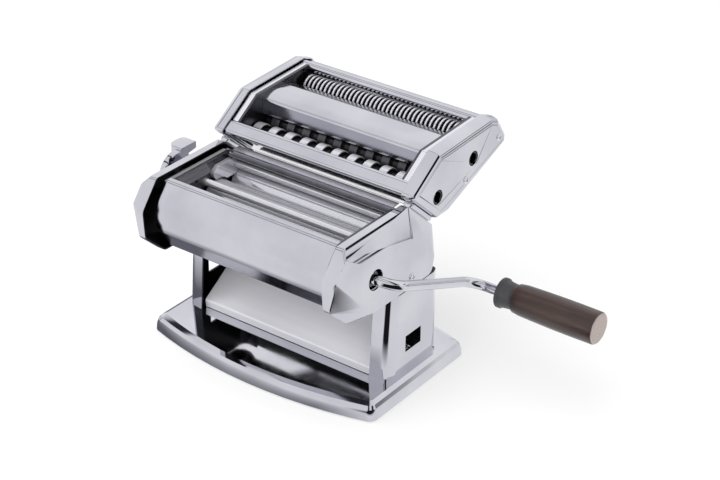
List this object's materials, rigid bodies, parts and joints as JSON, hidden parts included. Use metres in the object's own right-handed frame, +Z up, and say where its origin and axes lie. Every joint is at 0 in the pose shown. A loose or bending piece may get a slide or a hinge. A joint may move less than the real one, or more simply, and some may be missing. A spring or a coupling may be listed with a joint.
{
  "type": "pasta machine",
  "caption": "Hand-cranked pasta machine: pressed steel stand and head with smooth rollers, a thickness dial, a slide-on cutter head and a bent crank with a wooden grip.",
  "frame": {"origin": "on the table under the middle of the base, at the bottom of the rubber feet", "axes": "+X along the rollers towards the crank, +Y to the back where the cutter head is, +Z up"},
  "size_m": [0.3344, 0.2134, 0.1804],
  "materials": {
    "chrome": "bright chrome plating on pressed steel",
    "bright_steel": "bright drawn and ground steel",
    "bush_bronze": "plain turned bearing bronze",
    "collar_dark": "dark grey moulded plastic, satin",
    "grip_wood": "dark brown stained and waxed hardwood",
    "foot_rubber": "black moulded rubber"
  },
  "bodies": {
    "housing": {"base_plate": "chrome", "base_feet": "foot_rubber", "left_side_panel": "chrome", "right_side_panel": "chrome", "left_frame_plate": "bright_steel", "right_frame_plate": "bright_steel", "tie_rods": "bright_steel", "front_cover": "chrome", "rear_cover": "chrome", "chute_plate": "chrome", "left_dough_guide": "chrome", "right_dough_guide": "chrome", "front_scraper": "bright_steel", "rear_scraper": "bright_steel", "rear_roller_bushes": "bush_bronze", "drive_bush": "bush_bronze", "panel_posts": "bright_steel", "panel_screws": "bright_steel", "foot_screws": "bright_steel", "cutter_rails": "chrome"},
    "front_carriage": {"left_bearing_block": "bright_steel", "right_bearing_block": "bright_steel"},
    "front_roll": {"front_roller": "chrome", "front_roller_gear": "bright_steel"},
    "rear_roll": {"rear_roller": "chrome", "rear_roller_gear": "bright_steel"},
    "dial_set": {"adjust_shaft": "bright_steel", "adjust_cams": "bright_steel", "dial": "chrome", "dial_screw": "bright_steel"},
    "drive": {"drive_shaft": "bright_steel", "drive_pinion": "bright_steel"},
    "crank": {"crank_rod": "chrome", "crank_collar": "collar_dark"},
    "grip": {"crank_grip": "grip_wood"},
    "cutter_head": {"cutter_left_cap": "chrome", "cutter_right_cap": "chrome", "cutter_left_plate": "bright_steel", "cutter_right_plate": "bright_steel", "cutter_front_guide": "chrome", "cutter_centre_cover": "chrome", "cutter_back_rail": "chrome", "cutter_shoes": "chrome", "wide_comb": "bright_steel", "fine_comb": "bright_steel", "cutter_screws": "bright_steel"},
    "wide_cutter": {"wide_driver": "chrome", "wide_driver_gear": "bright_steel"},
    "wide_mate": {"wide_follower": "chrome", "wide_follower_gear": "bright_steel"},
    "fine_cutter": {"fine_driver": "chrome", "fine_driver_gear": "bright_steel"},
    "fine_mate": {"fine_follower": "chrome", "fine_follower_gear": "bright_steel"}
  },
  "joints": [
    {"name": "crank_turn", "type": "hinge", "parent": "housing", "child": "drive", "pos_m": [0.09, -0.0428, 0.1105], "axis": [1, 0, 0], "continuous": true},
    {"name": "crank_pull", "type": "slide", "parent": "drive", "child": "crank", "axis": [1, 0, 0], "range_m": [0, 0.03]},
    {"name": "grip_spin", "type": "hinge", "parent": "crank", "child": "grip", "pos_m": [0.18, 0.05661, 0.0683], "axis": [1, 0, 0], "continuous": true},
    {"name": "dial_turn", "type": "hinge", "parent": "housing", "child": "dial_set", "pos_m": [-0.09, -0.0317, 0.1303], "axis": [1, 0, 0], "range_deg": [0, 150]},
    {"name": "carriage_slide", "type": "slide", "parent": "housing", "child": "front_carriage", "axis": [0, 1, 0], "range_m": [0, 0.0018]},
    {"name": "front_roller_spin", "type": "hinge", "parent": "front_carriage", "child": "front_roll", "pos_m": [0, -0.0175, 0.1105], "axis": [1, 0, 0], "continuous": true},
    {"name": "rear_roller_spin", "type": "hinge", "parent": "housing", "child": "rear_roll", "pos_m": [0, 0.0145, 0.1105], "axis": [1, 0, 0], "continuous": true},
    {"name": "cutter_slide", "type": "slide", "parent": "housing", "child": "cutter_head", "axis": [0, -0.7431, 0.6691], "range_m": [0, 0.05]},
    {"name": "wide_cutter_spin", "type": "hinge", "parent": "cutter_head", "child": "wide_cutter", "pos_m": [0, 0.0341, 0.1433], "axis": [1, 0, 0], "continuous": true},
    {"name": "wide_mate_spin", "type": "hinge", "parent": "cutter_head", "child": "wide_mate", "pos_m": [0, 0.05088, 0.14827], "axis": [1, 0, 0], "continuous": true},
    {"name": "fine_cutter_spin", "type": "hinge", "parent": "cutter_head", "child": "fine_cutter", "pos_m": [0, 0.07936, 0.15671], "axis": [1, 0, 0], "continuous": true},
    {"name": "fine_mate_spin", "type": "hinge", "parent": "cutter_head", "child": "fine_mate", "pos_m": [0, 0.09614, 0.16168], "axis": [1, 0, 0], "continuous": true}
  ],
  "couplings": [
    {"joint": "front_roller_spin", "follows": "crank_turn", "ratio": -0.66667},
    {"joint": "rear_roller_spin", "follows": "crank_turn", "ratio": 0.66667},
    {"joint": "dial_turn", "follows": "carriage_slide", "rad_per_m": 1454.4},
    {"joint": "wide_mate_spin", "follows": "wide_cutter_spin", "ratio": -1},
    {"joint": "fine_mate_spin", "follows": "fine_cutter_spin", "ratio": -1}
  ]
}
